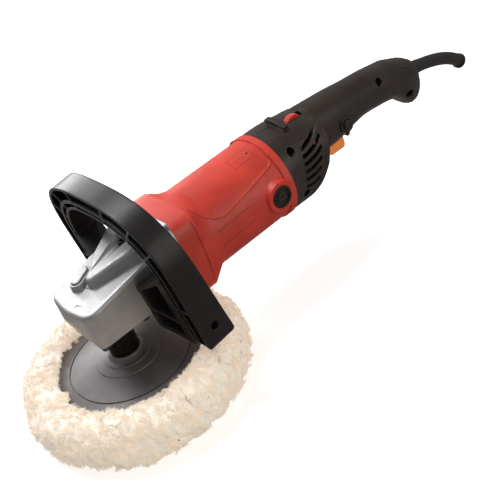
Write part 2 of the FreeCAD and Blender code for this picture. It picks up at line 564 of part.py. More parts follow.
def handle_halves():
    outer = fused(loft(BELL).cut(bulkhead(0)), loft(GRIP))
    lip = prism_y([(267.6, 92), (267.6, 82.4), (270.2, 82.8), (273.5, 92)], -8.5, 8.5)
    ridge = ring(40.9, 34, V(199, 0, MOTOR_Z), V(204.2, 0, MOTOR_Z)).common(wedge(80, 114, 190, 210))
    collar = rod_y(7.4, -21.6, -14, *LOCK_ON)
    outer = fused(outer, lip, ridge, collar)
    hollow = fused(loft(BELL, WALL).cut(bulkhead(WALL)), loft(GRIP[:-1], WALL))
    hollow = hollow.fuse(rod_x(34.4, HANDLE_X - 1, 184.4))
    shell = outer.cut(hollow)

    bosses = [rod_y(5.0, -45, 45, x, z) for x, z in HANDLE_SCREWS]
    px, pz = TRIGGER_PIVOT
    bosses += [rod_y(4.0, y0, y1, px, pz) for y0, y1 in ((-30, -7.6), (7.6, 30))]
    bosses += [box(350, 355, y0, y1, 72, 98.0) for y0, y1 in ((-11, -4.6), (4.6, 11))]
    bosses.append(rod_y(7.4, -21.6, -13.5, *LOCK_ON))
    shell = fused(shell, *[b.common(outer) for b in bosses])

    cuts = vent_slots()
    cuts.append(box(240.2, 267.5, -7.6, 7.6, 70, 96))
    cuts.append(rod_y(2.0, -9.8, 9.8, px, pz))
    cuts.append(rod_y(4.7, -30, -10, *LOCK_ON))
    cuts.append(box(205.6, 227.4, -9.2, -2.8, 117, 145))
    for x, z in HANDLE_SCREWS:
        cuts += [rod_y(3.6, -60, -8, x, z), rod_y(1.9, -9, 0, x, z), rod_y(1.7, 0, 12.5, x, z)]
    cuts += [rod_z(1.5, 84, 99, 352.5, y) for y in (-8, 8)]
    cuts.append(sweep(CORD_PATH[:3], GUARD_R + 0.3))
    cuts.append(rod(8.2, V(355, 0, 94.9), V(358.8, 0, 94.5)))
    shell = shell.cut(cuts)
    left = shell.common(box(150, 400, -60, 0, 30, 160))
    right = shell.common(box(150, 400, 0, 60, 30, 160))
    return biggest(left), biggest(right)


def biggest(shape):
    return max(shape.Solids, key=lambda solid: solid.Volume)


def build_handle():
    left, right = handle_halves()
    save("rear_handle_left", left)
    save("rear_handle_right", right)
    save("handle_screws", *[
        fused(rod_y(3.2, -11, -8.02, x, z), rod_y(1.7, -9, 12, x, z)).cut(rod_y(1.4, -12, -9.5, x, z))
        for x, z in HANDLE_SCREWS])


def build_switchgear():
    px, pz = TRIGGER_PIVOT
    outline = [(242.3, 78.4), (246.5, 74.9), (261.6, 74.3), (263.4, 76.6), (263.4, 84), (261, 92),
               (243.5, 92),
               (240.9, 88)]
    lever = prism_y(outline, -7, 7)
    lower = [e for e in lever.Edges if e.BoundBox.YLength > 10 and e.BoundBox.ZMax < 79]
    lever = lever.makeFillet(1.6, lower)
    save("trigger", fused(lever, rod_y(1.95, -9.4, 9.4, px, pz)))
    plunger_x = 257.0
    save("switch_body", box(245, 284, -8.5, 8.5, 97, 119).cut(rod_z(2.05, 96, 104, plunger_x)))
    save("switch_plunger", rod_z(2.0, 92.06, 99.5, plunger_x))
    knob = fused(rod_y(4.6, -23.6, -13.2, *LOCK_ON), rod_y(2.4, -13.4, -12.6, *LOCK_ON))
    save("lock_on_button", knob.cut(box(LOCK_ON[0] - 5, LOCK_ON[0] + 5, -24, -22.8, LOCK_ON[1] - 0.7,
                                        LOCK_ON[1] + 0.7)))
    notches = around(rod_y(0.7, DIAL.y - 4, DIAL.y + 4, DIAL.x, DIAL.z + DIAL_R + 0.2), 24, Y, DIAL)
    wheel = rod_y(DIAL_R, DIAL.y - 2.5, DIAL.y + 2.5, DIAL.x, DIAL.z).cut(notches)
    save("speed_dial", fused(wheel, rod_y(1.5, DIAL.y, 1.0, DIAL.x, DIAL.z)))
    save("potentiometer", box(210, 223, -2.4, 2.5, 115, 128).cut(rod_y(1.55, -4, 1.2, DIAL.x, DIAL.z)))
    save("speed_board", box(197, 236, 2.55, 4.15, 98, 128))
    save("capacitor", rod_x(6.5, 288, 303, 104.5))


def build_cord():
    guard = sweep(CORD_PATH[1:], GUARD_R)
    end = CORD_PATH[-1]
    along = V(end - CORD_PATH[-2]).normalize()
    lip = rod(GUARD_R + 1.1, end - along * 2.6, end)
    root = rod(8.0, V(355.2, 0, 94.88), V(358.6, 0, 94.52))
    taper = Part.makeCone(GUARD_R + 1.2, GUARD_R, 14, V(363.4, 0, 93.8), V(1, 0, -0.17))
    cord = sweep(CORD_PATH, 3.4)
    save("cord_guard", fused(guard, lip, root, taper).cut(cord))
    save("power_cord", cord)
    save("cord_clamp", box(350.4, 354.6, -10.8, 10.8, 98.7, 101.6).cut(
        [rod_z(1.7, 98, 102, 352.5, y) for y in (-8, 8)]))
    save("cord_clamp_screws", *[fused(rod_z(2.8, 101.62, 103.6, 352.5, y), rod_z(1.5, 86, 102, 352.5, y))
                                for y in (-8, 8)])


# ---- bow handle --------------------------------------------------------------------------
LEG_END = 52.0


def arch(t):
    """Half width, rise, spring height and squareness of the bow line, t from 0 outside to 1 inside."""
    return 80 - 20 * t, 70 - 17.5 * t, 110 - t, 2.9 - 0.3 * t


def arch_point(t, angle):
    a, b, zc, n = arch(t)
    return V(0, -a * power(cos(angle), 2 / n), zc + b * abs(sin(angle)) ** (2 / n))


def band(t0, t1, foot, depth, start=0.0):
    """Slice of the bow between two lines, standing on its feet, cut depth deep from the front."""
    edges = []
    for t in (t0, t1):
        a, zc = arch(t)[0], arch(t)[2]
        curve = Part.BSplineCurve()
        curve.interpolate(Points=[arch_point(t, pi * i / 28) for i in range(29)],
                          InitialTangent=V(0, 0, 1), FinalTangent=V(0, 0, -1))
        edges.append(curve.toShape())
        edges += [Part.makeLine(V(0, s * a, foot), V(0, s * a, zc)) for s in (-1, 1)]
    a0, a1 = arch(t0)[0], arch(t1)[0]
    edges += [Part.makeLine(V(0, s * a0, foot), V(0, s * a1, foot)) for s in (-1, 1)]
    face = Part.Face(Part.Wire(Part.__sortEdges__(edges)))
    face.translate(V(start, 0, 0))
    return face.extrude(V(depth, 0, 0))


def bow_ribs():
    """Radial ribs that divide the pockets, square to the bow line."""
    ribs = []
    for angle in (28, 51, 78, 102, 129, 152):
        outside, inside = arch_point(0, radians(angle)), arch_point(1, radians(angle))
        along = degrees(atan2(inside.z - outside.z, inside.y - outside.y))
        rib = Part.makeBox(BOW_DEPTH, 30, 1.8, V(0, -2, -0.9))
        rib.rotate(V(0, 0, 0), X, along)
        rib.translate(outside)
        ribs.append(rib)
    for side in (-1, 1):
        ribs.append(box(0, BOW_DEPTH, min(side * 58, side * 82), max(side * 58, side * 82), 91, 92.8))
    return ribs


def bracket(side, inset, front, back):
    """Box between the gear head and a leg; inset shrinks it evenly for the hollow."""
    outline = [V(0, 30 + inset, 64 + inset), V(0, 62, LEG_END + inset), V(0, 62, 121 - inset),
               V(0, 30 + inset, 107 - inset)]
    wall = Part.Face(Part.makePolygon(outline + outline[:1])).extrude(V(60, 0, 0))
    wall.translate(V(-20, 0, 0))
    plan = [V(front - 8, 29, 0), V(front, 64, 0), V(back, 64, 0), V(back, 29, 0)]
    depth = Part.Face(Part.makePolygon(plan + plan[:1])).extrude(V(0, 0, 200))
    arm = wall.common(depth)
    return arm if side > 0 else mirrored(arm)


def bow_handle():
    solid = band(0, 1, LEG_END, BOW_DEPTH)
    feet = [e for e in solid.Edges if e.BoundBox.XLength > 20 and abs(abs(e.BoundBox.YMin) - 80) < 0.1
            and e.BoundBox.ZMax < LEG_END + 0.1]
    solid = solid.makeFillet(3.0, feet)
    slope = (BOW_CROWN_DEPTH - BOW_DEPTH) / (arch(0)[1] + arch(0)[2] - LEG_END)
    back = [(BOW_DEPTH + slope * (z - LEG_END), z) for z in (0, 200)]
    solid = solid.cut(prism_y(back + [(90, 200), (90, 0)], -100, 100))
    corner = box(-1, 6, -100, 100, LEG_END - 1, LEG_END + 6).cut(
        rod_y(6.0, -101, 101, 6, LEG_END + 6))
    solid = solid.cut([corner, corner.mirror(V(BOW_DEPTH / 2, 0, 0), X)])
    arms = [bracket(side, 0, 0, 20) for side in (-1, 1)]
    solid = fused(solid, *arms)

    pockets = [band(0.11, 0.58, LEG_END + 3, 17, -1), band(0.71, 0.89, LEG_END + 3, 9, -1)]
    pocket = pockets[0].fuse(pockets[1]).cut(bow_ribs())
    hollows = []
    for side in (-1, 1):
        hollow = bracket(side, 3.0, -20, 16.5)
        brace = Part.makeBox(60, 60, 1.8, V(-20, -30, -0.9))
        brace.rotate(V(0, 0, 0), X, side * -24)
        brace.translate(V(0, side * 46, 78))
        hollow = hollow.cut([brace, band(0.8, 1.2, LEG_END, 60, -20)])
        hollows.append(hollow)
    solid = solid.cut([pocket] + hollows)
    solid.rotate(V(0, 0, BOW_FOOT.z), Y, -BOW_TILT)
    solid.translate(V(BOW_FOOT.x, 0, 0))

    bx, bz = BOW_BOLT
    seats = [rod_y(8.0, side * 30.0, side * 41, bx, bz) for side in (-1, 1)]
    solid = fused(solid, *seats)
    bores = []
    for side in (-1, 1):
        bores += [rod_y(4.2, side * 29, side * 42, bx, bz), rod_y(6.9, side * 37, side * 62, bx, bz),
                  rod_y(3.8, side * 55, side * 82, bx, bz)]
    solid = solid.cut(bores)
    clear = BLOCK_W - 0.02
    plan = [V(-60, -clear, 0), V(33, -clear, 0), V(53, -clear - 2.6, 0), V(62, -39.5, 0), V(90, -39.5, 0)]
    plan += [V(p.x, -p.y, 0) for p in reversed(plan)]
    head_room = Part.Face(Part.makePolygon(plan + plan[:1])).extrude(V(0, 0, 85))
    head_room.translate(V(0, 0, 40))
    return biggest(solid.cut(head_room))


def build_bow():
    save("bow_handle", bow_handle())
    bx, bz = BOW_BOLT
    save("bow_bolts", *[
        fused(rod_y(6.4, side * 38.7, side * 46.7, bx, bz), rod_y(3.98, side * 15, side * 39, bx, bz)).cut(
            rod_y(3.4, side * 42, side * 48, bx, bz)) for side in (-1, 1)])
    washers = [ring(6.8, 4.1, V(bx, side * 37.05, bz), V(bx, side * 38.65, bz)) for side in (-1, 1)]
    save("bow_washers", *washers)


os.makedirs("parts", exist_ok=True)
build_spindle_group()
build_gear_head()
build_shaft_lock()
build_intermediate()
build_motor()
build_brushes()
save("motor_housing", motor_housing())
build_handle()
build_switchgear()
build_cord()
build_bow()
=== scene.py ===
import json
from math import cos, pi, radians, sin, tau

import bpy
import numpy as np
from mathutils import Matrix, Vector
from mathutils.bvhtree import BVHTree
from mathutils.kdtree import KDTree


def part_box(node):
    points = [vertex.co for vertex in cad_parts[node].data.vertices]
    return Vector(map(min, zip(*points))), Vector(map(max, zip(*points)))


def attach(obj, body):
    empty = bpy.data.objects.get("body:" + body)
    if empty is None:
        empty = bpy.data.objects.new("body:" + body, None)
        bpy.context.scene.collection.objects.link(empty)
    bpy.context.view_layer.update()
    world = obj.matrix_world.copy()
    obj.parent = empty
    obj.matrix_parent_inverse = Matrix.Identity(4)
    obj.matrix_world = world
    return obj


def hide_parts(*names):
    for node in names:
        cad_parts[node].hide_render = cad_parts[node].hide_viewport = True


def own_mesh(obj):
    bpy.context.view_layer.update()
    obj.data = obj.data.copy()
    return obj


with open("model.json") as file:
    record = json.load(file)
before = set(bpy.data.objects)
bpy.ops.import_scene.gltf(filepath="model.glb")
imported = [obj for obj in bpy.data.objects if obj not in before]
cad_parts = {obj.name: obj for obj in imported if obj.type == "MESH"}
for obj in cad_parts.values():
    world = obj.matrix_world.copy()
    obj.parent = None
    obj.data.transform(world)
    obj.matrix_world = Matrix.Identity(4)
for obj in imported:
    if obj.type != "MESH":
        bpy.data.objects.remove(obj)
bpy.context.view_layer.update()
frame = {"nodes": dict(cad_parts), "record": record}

NODES = frame["nodes"]
MM = 0.001
MOTOR_Z = 0.097                 # height of the motor's axis
BRUSH_X = 0.162                 # place of the brush caps along it
RNG = np.random.default_rng(7)


# ---- materials -----------------------------------------------------------------------
class Shader:
    """One node material: a Principled surface plus the few node helpers used below."""

    def __init__(self, name, colour, rough, metal=0.0):
        self.mat = bpy.data.materials.new(name)
        self.mat.use_nodes = True
        self.tree = self.mat.node_tree
        self.surface = self.tree.nodes["Principled BSDF"]
        self.coords = self.node("ShaderNodeTexCoord").outputs["Object"]
        self.set("Base Color", (*colour, 1.0))
        self.set("Roughness", rough)
        self.set("Metallic", metal)
        self.height = None          # the normal that the next bump starts from

    def node(self, kind, **values):
        node = self.tree.nodes.new(kind)
        for key, value in values.items():
            setattr(node, key, value)
        return node

    def set(self, socket, value):
        self.surface.inputs[socket].default_value = value

    def link(self, source, target):
        self.tree.links.new(source, target)

    def feed(self, socket, source):
        """Joins a node's output to an input of the surface."""
        self.link(source, self.surface.inputs[socket])

    def noise(self, scale, detail=2.0, stretch=None):
        """Noise in the object's own metres; scale is cells per metre."""
        tex = self.node("ShaderNodeTexNoise")
        source = self.coords
        if stretch:
            mapping = self.node("ShaderNodeMapping")
            mapping.inputs["Scale"].default_value = stretch
            self.link(source, mapping.inputs["Vector"])
            source = mapping.outputs["Vector"]
        self.link(source, tex.inputs["Vector"])
        tex.inputs["Scale"].default_value = scale
        tex.inputs["Detail"].default_value = detail
        return tex.outputs["Fac"]

    def ramp(self, source, low, high, at=(0.3, 0.7)):
        """Colour from low to high as the source goes between the two places in at."""
        ramp = self.node("ShaderNodeValToRGB")
        ramp.color_ramp.elements[0].position, ramp.color_ramp.elements[1].position = at
        ramp.color_ramp.elements[0].color = (*low, 1.0)
        ramp.color_ramp.elements[1].color = (*high, 1.0)
        self.link(source, ramp.inputs["Fac"])
        return ramp.outputs["Color"]

    def span(self, source, low, high, start=0.3, end=0.7):
        """Source between start and end becomes a number between low and high."""
        rng = self.node("ShaderNodeMapRange")
        for key, value in (("From Min", start), ("From Max", end), ("To Min", low), ("To Max", high)):
            rng.inputs[key].default_value = value
        self.link(source, rng.inputs["Value"])
        return rng.outputs["Result"]

    def mix(self, factor, a, b):
        """Colour between a and b; each input is a socket, a colour or a number."""
        mix = self.node("ShaderNodeMix", data_type="RGBA")
        sockets = {s.identifier: s for s in mix.inputs}
        for value, key in ((factor, "Factor_Float"), (a, "A_Color"), (b, "B_Color")):
            target = sockets[key]
            if isinstance(value, bpy.types.NodeSocket):
                self.link(value, target)
            elif isinstance(value, tuple):
                target.default_value = (*value, 1.0)
            else:
                target.default_value = value
        return [s for s in mix.outputs if s.identifier == "Result_Color"][0]

    def bump(self, source, strength, distance):
        """Adds a bump on top of those already there; distance is its height in metres."""
        bump = self.node("ShaderNodeBump")
        bump.inputs["Strength"].default_value = strength
        bump.inputs["Distance"].default_value = distance
        self.link(source, bump.inputs["Height"])
        if self.height:
            self.link(self.height, bump.inputs["Normal"])
        self.height = bump.outputs["Normal"]
        self.feed("Normal", self.height)

    def soft_edges(self, radius):
        """Shades sharp edges as if they were rounded to the radius."""
        bevel = self.node("ShaderNodeBevel", samples=6)
        bevel.inputs["Radius"].default_value = radius
        self.height = bevel.outputs["Normal"]
        self.feed("Normal", self.height)

    def worn_edges(self, wear, radius=0.0006):
        """Factor that is 1 on sharp edges, from the angle a rounded normal makes with the real one."""
        bevel = self.node("ShaderNodeBevel", samples=4)
        bevel.inputs["Radius"].default_value = radius
        geometry = self.node("ShaderNodeNewGeometry")
        dot = self.node("ShaderNodeVectorMath", operation="DOT_PRODUCT")
        self.link(bevel.outputs["Normal"], dot.inputs[0])
        self.link(geometry.outputs["Normal"], dot.inputs[1])
        return self.span(dot.outputs["Value"], wear, 0.0, 0.82, 0.995)


def shade(colour, factor, add=0.0):
    """The colour made lighter or darker, held under full white."""
    return tuple(min(1.0, c * factor + add) for c in colour)


def moulded(name, colour, rough, grain=0.25, vary=0.12, wear=0.35, edge=0.0007, shine=0.5, patch=0.07):
    """Moulded plastic: fine spark-eroded grain, faint flow marks and rubbed edges."""
    s = Shader(name, colour, rough)
    s.set("Specular IOR Level", shine)
    s.soft_edges(edge)
    body = s.ramp(s.noise(38, 4.0), shade(colour, 1 - vary), shade(colour, 1 + vary, 0.004))
    s.feed("Base Color", s.mix(s.worn_edges(wear), body, shade(colour, 1.5, 0.02)))
    s.feed("Roughness", s.span(s.noise(160, 5.0), rough - patch, rough + patch))
    s.bump(s.noise(2600, 3.0), grain, 0.00012)
    return s


def cast_metal(name, colour, rough, grain=0.3):
    """Blasted and lacquered casting: soft grain, slight mottling, brighter edges."""
    s = Shader(name, colour, rough, 0.85)
    s.soft_edges(0.0012)
    body = s.ramp(s.noise(55, 5.0), shade(colour, 0.86), shade(colour, 1.06))
    s.feed("Base Color", s.mix(s.worn_edges(0.6), body, shade(colour, 1.25)))
    s.feed("Roughness", s.span(s.noise(300, 6.0), rough - 0.07, rough + 0.1))
    s.bump(s.noise(1500, 4.0), grain, 0.00016)
    s.bump(s.noise(210, 3.0), 0.12, 0.0006)
    return s


def turned_metal(name, colour, rough, axis=(1, 1, 30)):
    """Turned or ground steel with fine marks across the axis."""
    s = Shader(name, colour, rough, 1.0)
    marks = s.noise(900, 3.0, stretch=axis)
    s.feed("Roughness", s.span(marks, rough - 0.08, rough + 0.12))
    s.feed("Base Color", s.ramp(s.noise(120, 4.0), shade(colour, 0.85), colour))
    s.bump(marks, 0.15, 0.0001)
    return s


def rubber(name, colour, rough):
    """Moulded rubber with a dusty bloom."""
    s = Shader(name, colour, rough)
    s.feed("Base Color", s.ramp(s.noise(45, 5.0), shade(colour, 0.8), shade(colour, 1.25)))
    s.feed("Roughness", s.span(s.noise(520, 6.0), rough - 0.07, rough + 0.12))
    s.bump(s.noise(1900, 3.0), 0.22, 0.00014)
    return s


def wool_material():
    """Lambswool: pale at the tips, with painted warm shade darkening the hollows between the locks, and a
    faint painted glow.
    """
    s = Shader("wool_pile", (0.90, 0.83, 0.72), 0.95)
    s.set("Sheen Weight", 0.4)
    s.set("Sheen Roughness", 0.6)
    # painted glow: the wool gives off cream light of its own, lifting its shadows though it is no lamp
    s.set("Emission Color", (0.98, 0.86, 0.72, 1.0))
    s.set("Emission Strength", 0.29)
    shade = s.ramp(s.noise(60, 5.0), (0.88, 0.78, 0.64), (0.96, 0.91, 0.83), at=(0.32, 0.62))
    fine = s.ramp(s.noise(700, 5.0), (0.88, 0.80, 0.67), (0.98, 0.95, 0.90), at=(0.3, 0.62))
    body = s.mix(0.4, shade, fine)
    # painted shade: an ambient-occlusion mask blends the wool toward warm tan where the locks crowd
    # together
    painted_shade_occlusion = s.node("ShaderNodeAmbientOcclusion", samples=6)
    painted_shade_occlusion.inputs["Distance"].default_value = 0.010
    painted_shade_depth = s.span(painted_shade_occlusion.outputs["AO"], 0.62, 0.0, 0.0, 0.5)
    s.feed("Base Color", s.mix(painted_shade_depth, body, (0.74, 0.56, 0.41)))
    s.bump(s.noise(1500, 6.0), 0.4, 0.0005)
    return s


RED = moulded("red_housing", (0.70, 0.050, 0.027), 0.42, shine=0.5)
# painted shade: dark red for raised beads that stand in for the shadow inside engraved grooves
RED_GROOVE_SHADE = moulded("red_painted_groove_shade", (0.24, 0.016, 0.012), 0.5)
HANDLE_BLACK = moulded("handle_black", (0.028, 0.0185, 0.013), 0.38, vary=0.2, edge=0.0009, shine=0.5)
BOW_BLACK = moulded("bow_black", (0.014, 0.011, 0.011), 0.34, grain=0.12, edge=0.0016, shine=0.34,
                    patch=0.03)
INK = moulded("dark_mark", (0.03, 0.028, 0.028), 0.5)
ORANGE = moulded("trigger_orange", (1.0, 0.30, 0.06), 0.42)
# painted glow: the trigger gives off a little orange light to brighten it where it sits in shade
ORANGE.set("Emission Color", (1.0, 0.25, 0.08, 1.0))
ORANGE.set("Emission Strength", 0.16)
DIAL_RED = moulded("dial_red", (0.62, 0.035, 0.03), 0.38)
CAST = cast_metal("cast_aluminium", (0.47, 0.465, 0.47), 0.48)
PAD = rubber("pad_rubber", (0.120, 0.105, 0.109), 0.36)
CORD = rubber("cord_rubber", (0.022, 0.020, 0.020), 0.45)
NECK = turned_metal("neck_black", (0.03, 0.028, 0.028), 0.34)
WOOL = wool_material()
STEEL = turned_metal("ground_steel", (0.62, 0.62, 0.64), 0.3)
COPPER = turned_metal("copper", (0.72, 0.36, 0.2), 0.35)
DARK_STEEL = turned_metal("dark_steel", (0.07, 0.07, 0.075), 0.4)
LAMINATION = turned_metal("laminated_core", (0.3, 0.3, 0.31), 0.45, axis=(40, 1, 1))
BRASS = turned_metal("brass", (0.75, 0.6, 0.3), 0.35)
CARBON = moulded("carbon", (0.03, 0.03, 0.03), 0.7)
BOARD = moulded("circuit_board", (0.03, 0.2, 0.08), 0.4)
LIGHT = moulded("light_plastic", (0.6, 0.58, 0.52), 0.45)

SLOT_SHADER = {
    "cast_aluminium": CAST, "steel": STEEL, "black_steel": DARK_STEEL, "red_plastic": RED,
    "black_plastic": HANDLE_BLACK, "satin_black": BOW_BLACK, "orange_plastic": ORANGE, "rubber": CORD,
    "wool": WOOL, "copper": COPPER, "brass": BRASS, "lamination": LAMINATION, "carbon": CARBON,
    "board": BOARD, "light_plastic": LIGHT,
}
NODE_SHADER = {
    "backing_pad": PAD, "spindle_seal": PAD, "spindle_sleeve": NECK, "shaft_lock_button": CAST,
    "speed_dial": DIAL_RED,
}


def dress_nodes():
    """Every CAD node gets the material of its slot, or its own where that is finer."""
    slots = {p["node"]: p["material_slot"] for p in frame["record"]["subparts"]}
    for name, obj in NODES.items():
        shader = NODE_SHADER.get(name) or SLOT_SHADER[slots[name]]
        obj.data.materials.clear()
        obj.data.materials.append(shader.mat)


def soften(name, width, segments=3):
    """Rounds the sharp edges of a CAD node by a bevel of the given width."""
    obj = NODES[name]
    weld = obj.modifiers.new("weld", "WELD")
    weld.merge_threshold = 0.00002
    bevel = obj.modifiers.new("bevel", "BEVEL")
    bevel.width = width
    bevel.segments = segments
    bevel.limit_method = "ANGLE"
    bevel.angle_limit = radians(38)


# ---- mesh helpers --------------------------------------------------------------------
def mesh_object(name, verts, faces, shader, body, smooth=True):
    """A piece made from points and faces in the frame's metres, riding on a body."""
    mesh = bpy.data.meshes.new(name)
    mesh.from_pydata([tuple(v) for v in verts], [], [tuple(f) for f in faces])
    mesh.update()
    if smooth:
        mesh.polygons.foreach_set("use_smooth", [True] * len(mesh.polygons))
    mesh.materials.append(shader.mat)
    obj = bpy.data.objects.new(name, mesh)
    bpy.context.scene.collection.objects.link(obj)
    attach(obj, body)
    return obj


# ---- small raised features -----------------------------------------------------------
class Surface:
    """The outside of one CAD node, found by casting rays at it."""

    def __init__(self, name):
        obj = NODES[name]
        verts = [obj.matrix_world @ v.co for v in obj.data.vertices]
        self.tree = BVHTree.FromPolygons(verts, [tuple(p.vertices) for p in obj.data.polygons])

    def hit(self, start, towards):
        start, towards = Vector(start), Vector(towards)
        direction = (towards - start).normalized()
        point, normal, _, _ = self.tree.ray_cast(start, direction)
        if point is None:
            return None
        return point, normal if normal.dot(direction) < 0 else -normal

    def barrel(self, x, angle, side):
        """Angle in degrees from level (0) up to the top (90)."""
        a = radians(angle)
        out = Vector((0, side * cos(a), sin(a)))
        axis = Vector((x, 0, MOTOR_Z))
        return self.hit(axis + out * 0.07, axis)

    def down(self, x, y):
        return self.hit((x, y, 0.20), (x, y, 0))

    def side(self, x, z, side):
        return self.hit((x, side * 0.09, z), (x, 0, z))


def resample(knots, count, rounds=3):
    """Evenly spaced places along a polyline, with its corners eased off."""
    knots = np.array(knots, float)
    steps = np.concatenate([[0], np.cumsum(np.linalg.norm(np.diff(knots, axis=0), axis=1))])
    at = np.linspace(0, steps[-1], count)
    path = np.stack([np.interp(at, steps, knots[:, k]) for k in range(knots.shape[1])], 1)
    for _ in range(rounds):
        path[1:-1] = (path[:-2] + 2 * path[1:-1] + path[2:]) / 4
    return path


def bead_mesh(track, half, height, closed=False, arc=7):
    """Verts and faces of a low rounded bead along a track of (point, normal)."""
    track = [t for t in track if t is not None]
    points = [t[0] for t in track]
    verts, faces = [], []
    count = len(points)
    for i, (point, normal) in enumerate(track):
        before = points[(i - 1) % count] if closed or i else points[0]
        after = points[(i + 1) % count] if closed or i < count - 1 else points[-1]
        across = (after - before).cross(normal).normalized()
        taper = 1.0 if closed else min(1.0, 0.35 + 0.65 * min(i, count - 1 - i) / 2)
        for k in range(arc):
            a = pi * k / (arc - 1)
            lift = height * taper * sin(a) - 0.00025
            verts.append(point + across * (half * taper * cos(a)) + normal * lift)
    for i in range(count if closed else count - 1):
        n = (i + 1) % count
        for k in range(arc):
            m = (k + 1) % arc
            faces.append((i * arc + k, i * arc + m, n * arc + m, n * arc + k))
    if not closed:
        faces.append(tuple(range(arc - 1, -1, -1)))
        faces.append(tuple((count - 1) * arc + k for k in range(arc)))
    return verts, faces


def beads(name, tracks, shader, body):
    """One piece made of several beads; each track is (places, half width, height, closed)."""
    verts, faces = [], []
    for places, half, height, closed in tracks:
        v, f = bead_mesh(places, half, height, closed)
        faces += [tuple(i + len(verts) for i in face) for face in f]
        verts += v
    return mesh_object(name, verts, faces, shader, body)


def turned_piece(name, place, profile, shader, body, sides=24):
    """Upright turned piece from (radius, height) points, the first one on the axis."""
    verts = [place + Vector((0, 0, profile[0][1]))]
    faces = []
    for radius, height in profile[1:]:
        for k in range(sides):
            a = tau * k / sides
            verts.append(place + Vector((radius * cos(a), radius * sin(a), height)))
    for k in range(sides):
        n = (k + 1) % sides
        faces.append((0, 1 + k, 1 + n))
        for ring in range(len(profile) - 2):
            a = 1 + ring * sides
            faces.append((a + k, a + sides + k, a + sides + n, a + n))
    last = 1 + (len(profile) - 2) * sides
    faces.append(tuple(last + k for k in range(sides - 1, -1, -1)))
    return mesh_object(name, verts, faces, shader, body, smooth=False)


def housing_marks():
    """Panel contour, two plain bars and a small blank label on each side of the motor housing; the bars
    and label lines are raised dark red beads that paint the shade of engraved grooves.
    """
    skin = Surface("motor_housing")
    contour = [(84, 56), (89, 47), (95, 38), (101, 29), (109, 24), (133, 30), (157, 37), (167, 40),
               (171.5, 46), (172.5, 58)]
    ridges, lines = [], []
    for side in (-1, 1):
        line = resample(contour, 70)
        ridges.append(([skin.barrel(x * MM, a, side) for x, a in line], 0.0011, 0.0008, False))
        crease = resample([(80.5, 131), (81.5, 97), (80.5, 63)], 40)
        ridges.append(([skin.side(x * MM, z * MM, side) for x, z in crease], 0.0015, 0.0009, False))
        for start, end in (((95, 13.0), (136, 14.5)), ((95, -8.0), (136, -5.0))):
            line = resample([start, end], 30, 0)
            lines.append(([skin.barrel(x * MM, a, side) for x, a in line], 0.0005, 0.0003, False))
    label = resample([(143, 63), (164, 63), (164, 81), (143, 81), (143, 63)], 80, 1)[:-1]
    lines.append(([skin.barrel(x * MM, a, -1) for x, a in label], 0.0004, 0.0003, True))
    for k in range(5):
        line = resample([(146 + 2.8 * k, 68), (147 + 2.8 * k, 75)], 6, 0)
        lines.append(([skin.barrel(x * MM, a, -1) for x, a in line], 0.0004, 0.0003, False))
    line = resample([(160.0, 69.5), (162.0, 75.5)], 6, 0)
    spot = ([skin.barrel(x * MM, a, -1) for x, a in line], 0.0011, 0.0005, False)
    beads("housing_ridges", ridges, RED, "frame")
    # painted shade: the bars and label lines are dark red beads in place of the shadow in engraved
    # grooves
    beads("housing_lines", lines, RED_GROOVE_SHADE, "frame")
    beads("label_mark", [spot], INK, "frame")


def head_marks():
    """Turning-direction arrow, lock mark and the cover screw of the gear head."""
    skin = Surface("gear_housing")
    arc = [(0.0225 * cos(radians(a)), 0.0235 * sin(radians(a))) for a in np.linspace(194, 214, 14)]
    head = Vector(arc[0])
    barbs = [[head + Vector((0.0022, -0.0036)), head], [head, head + Vector((-0.0014, -0.0034))]]
    tracks = [([skin.down(x, y) for x, y in arc], 0.00035, 0.0004, False)]
    tracks += [([skin.down(*p) for p in resample(b, 7, 0)], 0.00045, 0.0004, False) for b in barbs]
    beads("direction_arrow", tracks, INK, "frame")

    seat, _ = skin.down(0.0355, 0.0)
    socket, head_top, rim = 0.0014, 0.0022, 0.0030
    profile = [(0.0, 0.0011), (socket, 0.0011), (socket + 0.0001, head_top), (rim - 0.0003, head_top),
               (rim, head_top - 0.0004), (rim, -0.001)]
    turned_piece("cover_screw", seat, profile, DARK_STEEL, "frame")

    button = Surface("shaft_lock_button")
    low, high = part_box("shaft_lock_button")
    cx, cy = (low[0] + high[0]) / 2 - 0.0004, (low[1] + high[1]) / 2
    radius = 0.0016
    hook = [button.down(cx + radius * cos(radians(a)), cy + radius * sin(radians(a)))
            for a in np.linspace(-150, 120, 22)]
    beads("lock_mark", [(hook, 0.0003, 0.0003, False)], INK, "shaft_lock")


def handle_marks():
    """Panel lines round the vents, the parting line of the two halves and the dial's three ticks."""
    tracks = []
    for side, name in ((-1, "rear_handle_left"), (1, "rear_handle_right")):
        skin = Surface(name)
        facet = resample([(230.0, 128), (222, 124), (206, 121), (190, 112), (181.5, 106)], 40)
        tracks.append(([skin.side(x * MM, z * MM, side) for x, z in facet], 0.0005, 0.0004, False))
        rear = resample([(200, 68.5), (208.5, 78), (218.5, 92), (225, 108), (228.6, 124)], 50)
        tracks.append(([skin.side((x - 1.2) * MM, z * MM, side) for x, z in rear], 0.0009, 0.0007, False))
        cheek = resample([(339, 112), (348, 108), (354, 98), (355, 86), (350, 74)], 30)
        tracks.append(([skin.side(x * MM, z * MM, side) for x, z in cheek], 0.0012, 0.0006, False))
    top = Surface("rear_handle_left")
    seam = resample([(180.5, -0.7), (198.2, -0.7)], 16, 0)
    tracks.append(([top.down(x * MM, y * MM) for x, y in seam], 0.0006, 0.0005, False))
    beads("vent_panel_lines", tracks, HANDLE_BLACK, "frame")
    ticks = []
    for k in (-1, 0, 1):
        line = resample([(229.5 + abs(k) * 0.4, -6 + 2.6 * k), (231.8, -6 + 3.0 * k)], 5, 0)
        ticks.append(([top.down(x * MM, y * MM) for x, y in line], 0.0004, 0.0003, False))
    beads("dial_ticks", ticks, LIGHT, "frame")


